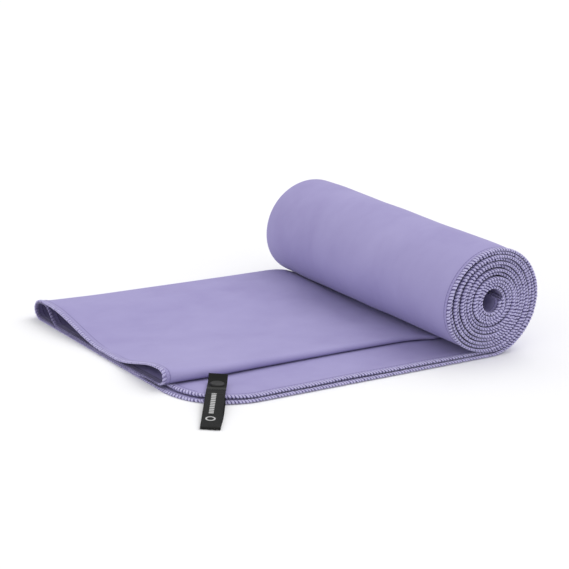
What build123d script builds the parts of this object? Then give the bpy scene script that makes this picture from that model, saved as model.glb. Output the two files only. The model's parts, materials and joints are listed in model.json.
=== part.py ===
from build123d import *
import math
import os

# Microfibre travel towel, folded in half along its length and then over
# again, and rolled up from one short end, with the last part of the cloth
# left lying flat.  The two long hems lie on each other along the front.
# A ribbon hang strap with a press stud is sewn to a free corner.
#
# The drawing is laid out for a roll 100 mm across; SCALE brings the finished
# solids to the size of an 80 x 130 cm towel.
#
# +X points from the free end to the roll, Y runs along the roll's axis with
# the front at -Y, +Z is up.  The origin is on the resting plane, under the
# roll's axis, at mid-length of the roll.

os.makedirs("parts", exist_ok=True)

# ------------------------------------------------------------------ sizes
SCALE = 0.775
PLAY = 0.05              # air between neighbouring pieces

CLOTH_T = 0.8            # brushed microfibre, one ply
PLY_STEP = 1.35          # spacing of the resting plies, centre to centre
FRONT_STEP = 2.3         # the same between the two hems along the front
FRONT_Z = 0.4            # underside of the bottom ply along the front edge
Y_FRONT = -140.2         # front hems of the two lower plies
Y_BACK = 145.3           # outside of the back fold
X_JOIN = -36.0           # where the flat part leaves the roll
X_FREE = -307.0          # free short end of the towel

HEM_W = 7.2              # width of the overlock band
HEM_T = 1.6              # thickness over the overlock thread
END_HEM_T = 1.2          # the same at the free end, where four plies press on it
HEM_OUT = 0.9            # thread standing proud of the cut edge

# borders of the flat part's panels, from the roll to the free end
NARROW_END_X = -69.0
MID_END_X = -248.0
MID_PANELS = 11
BORDERS = [X_JOIN, -47.0, -58.0, NARROW_END_X]
BORDERS += [NARROW_END_X - (NARROW_END_X - MID_END_X) / MID_PANELS * k
            for k in range(1, MID_PANELS + 1)]
BORDERS += [-288.0, X_FREE]

# one row per panel, from the roll to the free end:
# bend at its roll-side border when rolled up (degrees), height of the back hump,
# height of the front hump, y of the upper plies' front fold, bottom ply's underside
PANELS = [
    (11.25, 12.6, 7.4, -79.0, 0.0),
    (22.5, 13.6, 7.6, -77.5, 0.0),
    (22.5, 14.6, 7.8, -76.8, 0.0),
    (21.0, 15.0, 8.0, -76.2, 0.0),
    (9.5, 15.0, 8.1, -76.0, 0.0),
    (14.0, 15.0, 8.2, -76.0, 0.0),
    (14.0, 15.0, 8.4, -76.0, 0.0),
    (13.9, 15.1, 8.8, -76.2, 0.0),
    (13.9, 15.2, 9.3, -76.5, 0.0),
    (13.8, 15.3, 9.9, -76.8, 0.0),
    (13.8, 15.5, 10.6, -77.2, 0.0),
    (13.7, 15.6, 11.4, -77.8, 0.0),
    (13.6, 15.9, 12.6, -78.6, 0.0),
    (13.6, 16.3, 14.0, -79.8, 0.0),
    (23.5, 17.0, 15.4, -81.4, 0.0),
    (24.5, 18.4, 17.4, -83.0, 0.2),
]
BENDS = [row[0] for row in PANELS]
LAST = len(PANELS) - 1
CORNER_PANEL = 14        # first panel with the rounded corner; carries the press stud
BORDER_GAP = 0.1         # half of the slit between two panels
HINGE_Z = 6.0            # height of the bending line of the folded cloth
BEND_MARGIN = 0.35       # extra half angle of each slit above the bending line
SLIT_H = 40.0            # height of the slit wedges

CORNER_R = 58.0          # rounded corner of the sheet
CORNER_X = BORDERS[CORNER_PANEL]
CORNER_Y = -83.0
CORNER_BLOCK = 80.0      # side of the square that the corner is cut from

# roll
ROLL_CZ = 50.0           # centre of the roll above the resting plane
ROLL_FLAT = 13.0         # the roll is squashed flat up to this x
ROLL_PLIES_T = 4.2       # four plies pressed together inside the roll
ROLL_SECOND = 2.7        # depth of the second ply at the roll's front end
ROLL_START_X = X_JOIN + BORDER_GAP
ROLL_BACK_Y = 139.6      # back end of the roll
ROLL_FOLD_Y = -72.0      # front fold of the two upper plies
# outside radius of the wound cloth from the roll's centre, one value for each
# quarter turn, starting at the bottom and going up the +X side
ROLL_R = [50.9, 51.0, 51.0, 52.0,
          44.6, 44.5, 45.0, 44.5,
          38.0, 38.0, 38.5, 37.5,
          31.5, 31.5, 32.0, 31.0,
          25.0, 25.0, 25.5, 24.5,
          18.8, 18.8, 19.0, 18.0,
          13.8, 13.4, 13.2]
ROLL_ANGLES = range(30, 2310, 15)      # degrees; an even count, so the arcs come out whole

# hang strap; distances along it are taken from its far fold
STRAP_W = 16.5
STRAP_T = 0.5
STRAP_FOLD = (-318.9, -175.4)          # far fold of the strap, x and y
STRAP_DIR = (0.589, 0.808)             # from the far fold to the towel
STRAP_SNAP_S = 89.0                    # distance to the press stud
STRAP_BASE_END = 98.0                  # end of the lower leg
STRAP_TIP_S = 102.0                    # end of the upper leg
STRAP_TIP_Z = 11.6
FOLD_Z = 1.15                          # height of the far fold
LEG_Z = 1.7                            # the lower leg lies between the two plies
RELIEF_S = -31.0                       # middle of the strap's room, from the stud
RELIEF_L = 34.0
RELIEF_SIDE = 1.2                      # room beside the strap
RELIEF_TOP = 2.24
SNAP_XY = (STRAP_FOLD[0] + STRAP_DIR[0] * STRAP_SNAP_S,
           STRAP_FOLD[1] + STRAP_DIR[1] * STRAP_SNAP_S)

STITCH_L = STRAP_W - 3
STITCH_W = 0.7
STITCH_T = 0.35
STITCH_LIFT = 0.02                     # air under the stitches
HEM_RISE = (HEM_T - CLOTH_T) / 2       # hem thread above the face of the cloth
# stitch rows: distance from the press stud, height above the second ply
STITCH_ROWS = [(-26.0, HEM_RISE + STITCH_LIFT), (-10.0, STITCH_LIFT)]

# press stud
FIRST_TOP = FRONT_Z + CLOTH_T          # top of the bottom ply
SECOND_TOP = FIRST_TOP + FRONT_STEP    # top of the second ply, which carries the strap
FLAP_Z = SECOND_TOP + 2.4              # underside of the upper leg at the press stud
CAP_D = 12.4
CAP_T = 1.6
CAP_SHAFT_R = 1.35
CAP_SHAFT_DOWN = 0.3                   # shaft below the upper leg
CAP_SHAFT_UP = 0.1                     # shaft sunk into the cap
SOCKET_D = 10.4
SOCKET_ROOF = 0.4                      # from the knob's recess to the upper leg
SOCKET_HOLE_R = 1.45
STUD_D = 9.0
STUD_T = 0.6
KNOB_D = 4.6
KNOB_H = 1.15
POST_D = 3.0
POST_FLANGE_T = 0.4
POST_TOP = SECOND_TOP + 1.0
POST_HOLE_R = POST_D / 2 + 0.1


def save(shape, name):
    """Bring a finished solid to size and write it out."""
    sized = scale(shape, by=SCALE)
    sized.label = name
    export_step(sized, f"parts/{name}.step")


# ------------------------------------------------------------ line helpers
def blend(start, end, u):
    """Smooth step from start to end as u goes from 0 to 1, level beyond."""
    u = min(1.0, max(0.0, u))
    return start + (end - start) * 0.5 * (1.0 - math.cos(math.pi * u))


def ellipse_points(y_centre, z_centre, y_radius, z_radius, first_deg, last_deg):
    """Points on half an ellipse, in sixteen or eight steps of 11.25 or 22.5
    degrees: sixteen for the back folds, eight for the front fold."""
    steps = 8 if last_deg > 180 else 16
    angles = [math.radians(first_deg + (last_deg - first_deg) * k / steps)
              for k in range(steps + 1)]
    return [(y_centre + y_radius * math.cos(a), z_centre + z_radius * math.sin(a))
            for a in angles]


def normals(path):
    """Unit normals on the left of the path."""
    result = []
    for i in range(len(path)):
        before = path[max(0, i - 1)]
        after = path[min(len(path) - 1, i + 1)]
        du, dv = after[0] - before[0], after[1] - before[1]
        size = math.hypot(du, dv)
        result.append((-dv / size, du / size))
    return result


def offset_path(path, distance):
    return [(p[0] + n[0] * distance, p[1] + n[1] * distance)
            for p, n in zip(path, normals(path))]


def lengthened(path, distance):
    """The path with both ends moved outwards along their end directions."""
    def moved(end, neighbour):
        du, dv = end[0] - neighbour[0], end[1] - neighbour[1]
        size = math.hypot(du, dv)
        return (end[0] + du / size * distance, end[1] + dv / size * distance)

    return [moved(path[0], path[1])] + path[1:-1] + [moved(path[-1], path[-2])]


def outline(path, half):
    """Closed edges of a band around its middle line, for the open sketch line."""
    Polyline(offset_path(path, half) + offset_path(path, -half)[::-1], close=True)


def fold_path(back_hump, front_hump, y_fold, underside):
    """Middle line of the folded cloth in the YZ plane: bottom ply from its
    front hem, outer back fold, top ply, front fold, third ply, inner back
    fold, and the second ply to its own front hem."""
    half = CLOTH_T / 2
    z_bottom = underside + half
    z_second = z_bottom + PLY_STEP
    z_third = z_second + PLY_STEP
    z_valley = z_bottom + 3 * PLY_STEP
    z_hem = FRONT_Z + half
    z_upper_hem = z_hem + FRONT_STEP
    z_back = back_hump - half
    z_front = front_hump - half

    # back fold
    back_rz = (z_back - z_bottom) / 2
    back_ry = 12.5
    back_y = Y_BACK - half - back_ry
    back_z = z_bottom + back_rz
    # front fold
    z_fold_low = z_upper_hem + PLY_STEP
    front_rz = (z_front - z_fold_low) / 2
    front_ry = front_rz * 1.1
    front_y = y_fold + half + front_ry
    hump_y = front_y + 5               # back end of the front hump's level top
    slope_y = 14                       # back end of the slope up to the front hump
    slope_steps = 9

    def second(y):
        return blend(z_upper_hem, z_second, (y + 74) / 42.0)

    # bottom ply, front to back
    path = [(y, blend(z_hem, z_bottom, (y + 82) / 40.0))
            for y in (Y_FRONT, -110, -82, -72, -62, -52, *range(-42, 125, 11))]
    path += ellipse_points(back_y, back_z, back_ry, back_rz, -90, 90)
    # top ply, back to front: back hump, valley, front hump
    path += [(y, blend(z_back, z_valley, (114 - y) / 84.0))
             for y in (126, 119, *[114 - 84 * k / 10 for k in range(1, 10)], 30, 21)]
    path += [(slope_y + (hump_y - slope_y) * k / slope_steps,
              blend(z_valley, z_front, k / slope_steps)) for k in range(slope_steps)]
    path.append((hump_y - 1, z_front))
    path += ellipse_points(front_y, z_fold_low + front_rz, front_ry, front_rz, 90, 270)
    # third ply, back towards the back fold and up under the top ply
    y = front_y + 7
    while y < 97:
        path.append((y, second(y) + PLY_STEP))
        y += 9.0
    path += [(y, blend(z_third, z_back - PLY_STEP, (y - 102) / 23.0))
             for y in range(102, 124, 3)]
    path += ellipse_points(back_y, back_z, back_ry - PLY_STEP, back_rz - PLY_STEP, 90, -90)
    # second ply, back to its front hem
    path += [(y, second(y))
             for y in (*range(125, -34, -11), -40, -48, -56, -64, -74, -82, -110, Y_FRONT)]
    return path


PATHS = [fold_path(*row[1:]) for row in PANELS]


# -------------------------------------------------------------------- roll
def roll_radius(degrees):
    """Smooth curve through the quarter-turn radii."""
    turn = degrees / 90.0
    i = int(math.floor(turn))
    f = turn - i
    p0, p1, p2, p3 = [ROLL_R[max(0, min(len(ROLL_R) - 1, k))] for k in range(i - 1, i + 3)]
    return 0.5 * (2 * p1 + (p2 - p0) * f + (2 * p0 - 5 * p1 + 4 * p2 - p3) * f ** 2
                  + (3 * p1 - p0 - 3 * p2 + p3) * f ** 3)


def roll_point(degrees):
    angle = math.radians(degrees)
    radius = roll_radius(degrees)
    return (radius * math.sin(angle), ROLL_CZ - radius * math.cos(angle))


ROLL_PATH = [roll_point(degrees) for degrees in ROLL_ANGLES]


def roll_line(depth):
    """A line at one depth below the roll's outer surface, wound inwards from
    the +X end of the flat patch under the roll."""
    inward = normals([(X_JOIN, 0.0), (ROLL_FLAT, 0.0)] + ROLL_PATH)[2:]
    return [(ROLL_FLAT, depth)] + [(p[0] + n[0] * depth, p[1] + n[1] * depth)
                                   for p, n in zip(ROLL_PATH, inward)]


def arcs_through(points):
    """Circular arcs through every three points of a wound line."""
    for k in range(0, len(points) - 2, 2):
        ThreePointArc(points[k], points[k + 1], points[k + 2])


def wind(shallow, deep, y_front, y_back):
    """Add a band wound into the roll between two depths to the open part."""
    outer, inner = roll_line(shallow), roll_line(deep)
    with BuildSketch(Plane.XZ.offset(-y_back)) as band:
        with BuildLine():
            Line((ROLL_START_X, shallow), outer[0])
            arcs_through(outer)
            Line(outer[-1], inner[-1])
            arcs_through(inner)
            Line(inner[0], (ROLL_START_X, deep))
            Line((ROLL_START_X, deep), (ROLL_START_X, shallow))
        make_face()
    extrude(band.sketch, amount=y_back - y_front)


def fabric_roll():
    with BuildPart() as roll:
        # the two lower plies alone in front of the fold of the upper plies
        for depth in (0.0, ROLL_SECOND):
            wind(depth, depth + CLOTH_T, Y_FRONT, ROLL_FOLD_Y)
        # four plies pressed together behind the fold
        wind(0.0, ROLL_PLIES_T, ROLL_FOLD_Y, ROLL_BACK_Y)
    return roll.part


def hem_thread_roll():
    """Overlock thread on the front edges of the two lower plies: over the cut
    edge, and along the inner side of each ply."""
    with BuildPart() as thread:
        for depth in (0.0, ROLL_SECOND):
            wind(depth, depth + HEM_T, Y_FRONT - HEM_OUT, Y_FRONT - PLAY)
            wind(depth + CLOTH_T + PLAY, depth + HEM_T, Y_FRONT - PLAY, Y_FRONT + HEM_W)
    return thread.part


# ------------------------------------------------------------ strap frames
def strap_plane():
    """Upright plane along the strap: x runs from the far fold to the towel,
    y is up, and the normal is the strap's width."""
    return Plane(origin=(STRAP_FOLD[0], STRAP_FOLD[1], 0),
                 x_dir=(STRAP_DIR[0], STRAP_DIR[1], 0),
                 z_dir=(STRAP_DIR[1], -STRAP_DIR[0], 0))


def strap_flat(z):
    """Level plane with its origin on the press stud and x along the strap."""
    return Plane(origin=(SNAP_XY[0], SNAP_XY[1], z),
                 x_dir=(STRAP_DIR[0], STRAP_DIR[1], 0), z_dir=(0, 0, 1))


def disc(z, radius, height, mode=Mode.ADD):
    """Upright cylinder on the press stud's axis, in the open part."""
    with BuildSketch(strap_flat(z)) as circle:
        Circle(radius)
    extrude(circle.sketch, amount=height, mode=mode)


# --------------------------------------------------------------- flat part
def slit(x, half_angle, side):
    """Wedge that frees one side of a bending line above the hinge height."""
    top = HINGE_Z + SLIT_H
    width = SLIT_H * math.tan(math.radians(half_angle))
    with BuildSketch(Plane.XZ.offset(-200)) as wedge:
        with BuildLine():
            Polyline((x, HINGE_Z), (x, top), (x + side * width, top), close=True)
        make_face()
    extrude(wedge.sketch, amount=400, mode=Mode.SUBTRACT)


def cut_corner():
    """Round the free front corner of the plies."""
    with BuildSketch(Plane.XY.offset(-2)) as corner:
        with Locations((CORNER_X - CORNER_BLOCK / 2, CORNER_Y - CORNER_BLOCK / 2)):
            Rectangle(CORNER_BLOCK, CORNER_BLOCK)
        with Locations((CORNER_X, CORNER_Y)):
            Circle(CORNER_R, mode=Mode.SUBTRACT)
    extrude(corner.sketch, amount=30, mode=Mode.SUBTRACT)


def strap_relief():
    """Room for the lower leg of the strap beside the first ply, so that the
    last panel can bend up past it."""
    with BuildSketch(strap_flat(-1)) as room:
        with Locations((RELIEF_S, 0)):
            Rectangle(RELIEF_L, STRAP_W + 2 * RELIEF_SIDE)
    extrude(room.sketch, amount=RELIEF_TOP + 1, mode=Mode.SUBTRACT)


def panel_span(i):
    """Low-x end and length of a panel between its slits."""
    x_start = BORDERS[i + 1] + (0 if i == LAST else BORDER_GAP)
    return x_start, BORDERS[i] - BORDER_GAP - x_start


def fabric_panel(i):
    x_start, length = panel_span(i)
    with BuildPart() as panel:
        with BuildSketch(Plane.YZ.offset(x_start)):
            with BuildLine():
                outline(PATHS[i], CLOTH_T / 2)
            make_face()
        extrude(amount=length)
        slit(BORDERS[i], BENDS[i] / 2 + BEND_MARGIN, -1)
        if i < LAST:
            slit(BORDERS[i + 1], BENDS[i + 1] / 2 + BEND_MARGIN, 1)
        if i >= CORNER_PANEL:
            cut_corner()
        if i == CORNER_PANEL:
            # hole for the shaft of the press stud, through the second ply
            disc(2.0, POST_HOLE_R, 3.0, Mode.SUBTRACT)
        if i == LAST:
            strap_relief()
    return panel.part


def hem_thread(i):
    """Overlock thread on the two long edges of the sheet, one on the other."""
    x_start, length = panel_span(i)
    z_lower = FRONT_Z + CLOTH_T / 2
    band_w = HEM_W + HEM_OUT
    slot_t = CLOTH_T + 2 * PLAY
    with BuildPart() as thread:
        for z in (z_lower, z_lower + FRONT_STEP):
            with BuildPart() as band:
                if i < CORNER_PANEL:
                    with BuildSketch(Plane.YZ.offset(x_start)):
                        with Locations((Y_FRONT - HEM_OUT + band_w / 2, z)):
                            Rectangle(band_w, HEM_T)
                        with Locations((Y_FRONT - PLAY + 10, z)):
                            Rectangle(20, slot_t, mode=Mode.SUBTRACT)
                    extrude(amount=length)
                else:
                    # the same band round the rounded corner
                    with BuildSketch(Plane.XY.offset(z - HEM_T / 2)):
                        with Locations((CORNER_X, CORNER_Y)):
                            Circle(CORNER_R + HEM_OUT)
                            Circle(CORNER_R - HEM_W, mode=Mode.SUBTRACT)
                        with Locations((x_start + length / 2, CORNER_Y - 35)):
                            Rectangle(length, 70, mode=Mode.INTERSECT)
                    extrude(amount=HEM_T)
                    with BuildSketch(Plane.XY.offset(z - slot_t / 2)):
                        with Locations((CORNER_X, CORNER_Y)):
                            Circle(CORNER_R + PLAY)
                    extrude(amount=slot_t, mode=Mode.SUBTRACT)
            add(band.part)
        if i == LAST:
            strap_relief()
    return thread.part


def end_hem_thread():
    """Overlock thread across the free short end, following the folded cloth."""
    path = PATHS[LAST][2:-2]
    with BuildPart() as thread:
        with BuildSketch(Plane.YZ.offset(X_FREE - HEM_OUT)):
            with BuildLine():
                outline(path, END_HEM_T / 2)
            make_face()
        extrude(amount=HEM_W + HEM_OUT)
        with BuildSketch(Plane.YZ.offset(X_FREE - PLAY)):
            with BuildLine():
                outline(lengthened(path, 3.0), CLOTH_T / 2 + PLAY)
            make_face()
        extrude(amount=HEM_W + 3, mode=Mode.SUBTRACT)
    return thread.part


# -------------------------------------------------------------- hang strap
def hang_strap_base():
    """Lower leg: out from between the two hems and down to the far fold."""
    low = [(0.2, 0.0), (28, 0.0), (50, LEG_Z), (STRAP_BASE_END, LEG_Z)]
    high = [(s, z + STRAP_T) for s, z in low]
    with BuildPart() as base:
        with BuildSketch(strap_plane()):
            with BuildLine():
                Polyline(low + high[::-1], close=True)
            make_face()
        extrude(amount=STRAP_W / 2, both=True)
        disc(0, POST_HOLE_R, 4, Mode.SUBTRACT)
    return base.part


def hang_strap_flap():
    """Upper leg: from the far fold over the hem to the press stud, with its
    tip bent up."""
    low = [(0.0, FOLD_Z - STRAP_T / 2), (18, 1.5), (36, 3.0), (54, 4.8),
           (70, FLAP_Z), (84, FLAP_Z)]
    high = [(s, z + STRAP_T) for s, z in low]
    bend = (STRAP_SNAP_S + 7, FLAP_Z)
    tip = (STRAP_TIP_S, STRAP_TIP_Z)
    tip_length = math.hypot(tip[0] - bend[0], tip[1] - bend[1])
    normal_s = -(tip[1] - bend[1]) / tip_length
    normal_z = (tip[0] - bend[0]) / tip_length
    high_tip = (tip[0] + normal_s * STRAP_T, tip[1] + normal_z * STRAP_T)
    high_bend = (bend[0] + normal_s * STRAP_T * 0.62, bend[1] + STRAP_T)
    with BuildPart() as flap:
        with BuildSketch(strap_plane()):
            with BuildLine():
                Spline(low, tangents=[(1, 0), (1, 0)])
                Line(low[-1], bend)
                Line(bend, tip)
                Line(tip, high_tip)
                Line(high_tip, high_bend)
                Line(high_bend, high[-1])
                Spline(high, tangents=[(1, 0), (1, 0)])
                Line(high[0], low[0])
            make_face()
        extrude(amount=STRAP_W / 2, both=True)
        # round bead of the folded ribbon on the bending line
        with BuildSketch(strap_plane()):
            with Locations((0, FOLD_Z)):
                Circle(0.5)
        extrude(amount=STRAP_W / 2, both=True)
        # hole for the shaft of the cap
        disc(FLAP_Z - 1, 1.5, 3, Mode.SUBTRACT)
    return flap.part


def strap_stitching():
    """Two rows of lockstitch across the strap, on top of the second ply."""
    with BuildPart() as stitching:
        for s, height in STITCH_ROWS:
            with BuildSketch(strap_flat(SECOND_TOP + height)):
                with Locations((s, 0)):
                    SlotOverall(STITCH_L, STITCH_W, rotation=90)
            extrude(amount=STITCH_T)
    return stitching.part


# ------------------------------------------------------------- press stud
def snap_post():
    """Flange under the ribbon, shaft up through ribbon and second ply."""
    flange_z = FIRST_TOP + PLAY
    shaft_z = flange_z + POST_FLANGE_T
    with BuildPart() as post:
        disc(flange_z, STUD_D / 2, POST_FLANGE_T)
        fillet(post.faces().sort_by(Axis.Z)[0].edges(), 0.2)
        disc(shaft_z, POST_D / 2, POST_TOP - shaft_z)
    return post.part


def snap_stud():
    """Ring on the cloth with the knob that the socket grips."""
    ring_z = SECOND_TOP + PLAY
    with BuildPart() as stud:
        disc(ring_z, STUD_D / 2, STUD_T)
        disc(ring_z + STUD_T, KNOB_D / 2, KNOB_H)
        fillet(stud.faces().sort_by(Axis.Z)[-1].edges(), 0.4)
        disc(SECOND_TOP, POST_D / 2 + 0.06, 1.1, Mode.SUBTRACT)
    return stud.part


def snap_socket():
    """Spring ring under the upper leg."""
    bottom = SECOND_TOP + 0.75
    recess_z = bottom - 0.1
    with BuildPart() as socket:
        disc(bottom, SOCKET_D / 2, FLAP_Z - PLAY - bottom)
        fillet(socket.faces().sort_by(Axis.Z)[0].edges(), 0.4)
        disc(recess_z, KNOB_D / 2 + 0.25, FLAP_Z - SOCKET_ROOF - recess_z, Mode.SUBTRACT)
        disc(bottom, SOCKET_HOLE_R, 3, Mode.SUBTRACT)
    return socket.part


def snap_cap():
    """Domed cap on the upper leg, with its shaft through the ribbon."""
    underside = FLAP_Z + STRAP_T + PLAY
    shaft_z = FLAP_Z - CAP_SHAFT_DOWN
    with BuildPart() as cap:
        disc(underside, CAP_D / 2, CAP_T)
        fillet(cap.faces().sort_by(Axis.Z)[-1].edges(), 1.5)
        disc(shaft_z, CAP_SHAFT_R, underside + CAP_SHAFT_UP - shaft_z)
    return cap.part


# ------------------------------------------------------------------ output
for number in range(len(PANELS)):
    save(fabric_panel(number), f"fabric_panel_{number + 1:02d}")
    save(hem_thread(number), f"hem_thread_{number + 1:02d}")

for build in (fabric_roll, hem_thread_roll, end_hem_thread,
              hang_strap_base, hang_strap_flap, strap_stitching,
              snap_post, snap_stud, snap_socket, snap_cap):
    save(build(), build.__name__)
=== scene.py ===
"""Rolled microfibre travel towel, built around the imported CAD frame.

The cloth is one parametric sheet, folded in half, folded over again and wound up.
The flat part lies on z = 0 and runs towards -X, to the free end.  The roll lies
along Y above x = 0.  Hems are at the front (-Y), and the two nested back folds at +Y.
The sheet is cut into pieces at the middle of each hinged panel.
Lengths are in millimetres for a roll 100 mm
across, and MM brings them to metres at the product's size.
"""

import bpy
import json
import math
import numpy as np
from mathutils import Matrix, Vector


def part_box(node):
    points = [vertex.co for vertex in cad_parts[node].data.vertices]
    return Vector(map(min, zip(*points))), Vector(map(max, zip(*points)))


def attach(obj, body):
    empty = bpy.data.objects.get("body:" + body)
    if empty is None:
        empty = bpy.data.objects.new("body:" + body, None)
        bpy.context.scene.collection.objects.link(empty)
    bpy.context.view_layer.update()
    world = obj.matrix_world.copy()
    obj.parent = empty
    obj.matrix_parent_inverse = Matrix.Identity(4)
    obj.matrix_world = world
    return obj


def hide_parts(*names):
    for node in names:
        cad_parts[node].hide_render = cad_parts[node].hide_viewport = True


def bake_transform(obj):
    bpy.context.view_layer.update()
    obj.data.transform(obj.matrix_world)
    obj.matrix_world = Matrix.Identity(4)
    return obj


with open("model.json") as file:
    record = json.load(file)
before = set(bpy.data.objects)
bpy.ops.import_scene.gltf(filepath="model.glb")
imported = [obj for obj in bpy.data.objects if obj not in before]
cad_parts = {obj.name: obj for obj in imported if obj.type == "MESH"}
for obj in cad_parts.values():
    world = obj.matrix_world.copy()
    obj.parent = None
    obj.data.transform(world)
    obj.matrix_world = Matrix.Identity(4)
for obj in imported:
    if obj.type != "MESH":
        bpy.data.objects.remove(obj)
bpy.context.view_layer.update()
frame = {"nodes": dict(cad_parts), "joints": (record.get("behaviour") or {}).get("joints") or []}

SCALE = 0.775
MM = 0.001 * SCALE
HALF_THICK = 0.4                # half the cloth's thickness
FREE_END_INSET = 0.4            # free end of the sheet, inside the CAD panel's end

# ------------------------------------------------------------------ frame
hinge_x = {j["child"]: j["pos_m"][0] / MM for j in frame["joints"]
           if j["name"].startswith("roll_up")}
strap_hinge = next(j for j in frame["joints"] if j["name"] == "strap_open")
PANELS = sorted(hinge_x)
BORDERS = [hinge_x[panel] for panel in PANELS]
FREE_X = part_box(PANELS[-1].replace("panel", "fabric_panel"))[0].x / MM + FREE_END_INSET
STRAP_BASE = np.array([*strap_hinge["pos_m"][:2], 0.0]) / MM
STRAP_AXIS = np.array(strap_hinge["axis"])
STRAP_RUN = np.array([-STRAP_AXIS[1], STRAP_AXIS[0], 0.0])    # from its fold to the towel

ROLL_FLAT = 13.0                # x where the winding leaves the table
FLAT_LEAD = 8.0                 # flat length counted with the winding
WIND_START = ROLL_FLAT - FLAT_LEAD
ROLL_Z = 50.0                   # height of the roll's centre
FRONT_EDGE_Y = -140.2
BACK_FOLD_Y = 145.3


def ease(u):
    u = np.clip(u, 0.0, 1.0)
    return u * u * (3 - 2 * u)


def ease_from(value, start, span):
    """0 up to start, 1 from start + span; a negative span runs downwards."""
    return ease((value - start) / span)


def smooth_interp(x, table):
    """Cubic interpolation through (x, value) rows, without overshoot."""
    xs, ys = np.array(table, float).T
    slope = np.diff(ys) / np.diff(xs)
    before, after = slope[:-1], slope[1:]
    tangent = np.zeros(len(xs))
    tangent[1:-1] = np.where(after * before > 0, 2 * after * before / (after + before + 1e-12), 0)
    x = np.clip(x, xs[0], xs[-1])
    k = np.clip(np.searchsorted(xs, x, side="right") - 1, 0, len(xs) - 2)
    h = xs[k + 1] - xs[k]
    t = (x - xs[k]) / h
    return ((2 * t ** 3 - 3 * t ** 2 + 1) * ys[k] + (t ** 3 - 2 * t ** 2 + t) * h * tangent[k]
            + (-2 * t ** 3 + 3 * t ** 2) * ys[k + 1] + (t ** 3 - t ** 2) * h * tangent[k + 1])


class Waves:
    """Soft, repeatable undulation of two coordinates; lengths are wavelengths."""

    def __init__(self, seed, lengths, per_length=4):
        rng = np.random.default_rng(seed)
        self.terms = []
        for length in lengths:
            for _ in range(per_length):
                heading = rng.uniform(0, 2 * math.pi)
                rate = 2 * math.pi / (length * rng.uniform(0.8, 1.25))
                phase = rng.uniform(0, 2 * math.pi)
                self.terms.append((rate * math.cos(heading), rate * math.sin(heading), phase,
                                   (length / lengths[0]) ** 0.8))
        self.norm = math.sqrt(sum(term[3] ** 2 for term in self.terms) / 2)

    def __call__(self, u, v):
        total = 0.0
        for rate_u, rate_v, phase, size in self.terms:
            total = total + size * np.sin(rate_u * u + rate_v * v + phase)
        return total / self.norm


def unit(vectors, guard=0.0):
    return vectors / (np.linalg.norm(vectors, axis=-1, keepdims=True) + guard)


def path_lengths(points):
    return np.r_[0, np.cumsum(np.linalg.norm(np.diff(points, axis=0), axis=1))]


# ------------------------------------------------------------ roll winding
# outer radius at each quarter turn: bottom, +X side, top, -X side
TURN_RADIUS = [51.0, 51.0, 50.8, 52.2,
               43.7, 44.2, 44.8, 44.8,
               37.0, 37.4, 38.6, 37.2,
               30.4, 30.6, 31.8, 29.8,
               24.0, 23.8, 24.6, 22.6,
               17.8, 17.8, 18.7, 16.8,
               13.8, 12.4, 12.0, 12.0]
WOUND = 360.0 * 6 + 112.0       # degrees of winding
WIND_FROM = 24.0                # degrees where the round part starts
WIND_STEP = 0.5


def wound_radius(degrees):
    """Smooth curve through TURN_RADIUS."""
    t = np.asarray(degrees, float) / 90.0
    i = np.floor(t).astype(int)
    f = t - i
    table = np.array(TURN_RADIUS)
    p0, p1, p2, p3 = (table[np.clip(i + k, 0, len(table) - 1)] for k in (-1, 0, 1, 2))
    return 0.5 * (2 * p1 + (p2 - p0) * f + (2 * p0 - 5 * p1 + 4 * p2 - p3) * f ** 2
                  + (3 * p1 - p0 - 3 * p2 + p3) * f ** 3)


def spiral(degrees):
    """Points (x, z) on the winding."""
    r = wound_radius(degrees)
    a = np.radians(degrees)
    return r * np.sin(a), ROLL_Z - r * np.cos(a)


def winding():
    """Outer line of the wound cloth, from the flat lead inwards:
    x, z, length along it and turning angle."""
    degrees = np.arange(WIND_FROM, WOUND, WIND_STEP)
    x, z = spiral(degrees)
    x = np.r_[np.linspace(WIND_START, ROLL_FLAT, 9), x]
    z = np.r_[np.zeros(9), z]
    degrees = np.r_[np.zeros(9), degrees]
    for _ in range(60):         # round off the start of the winding
        for c in (x, z):
            c[5:60] = (c[4:59] + 2 * c[5:60] + c[6:61]) / 4
    length = np.r_[0, np.cumsum(np.hypot(np.diff(x), np.diff(z)))]
    return x, z, length, degrees


WIND_X, WIND_Z, WIND_LENGTH, WIND_DEG = winding()


def roll_bottom(x):
    """Height of the underside of the second turn above the flat part."""
    line_x, line_z = spiral(np.arange(270.0, 372.0, WIND_STEP))
    keep = np.r_[True, np.diff(line_x) > 0]
    return np.interp(x, line_x[keep], line_z[keep])


# ------------------------------------------------------------------- rows
# Rows run across the cloth, from the core of the roll to the free end.
FIRST_CUT = -30.5
STRAP_CUT = -265.0              # inside the stiff zone of the strap's panel
MIDS = [(a + b) / 2 for a, b in zip(BORDERS, BORDERS[1:] + [FREE_X])]
CUTS = [FIRST_CUT] + MIDS[:-2] + [STRAP_CUT]


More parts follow.
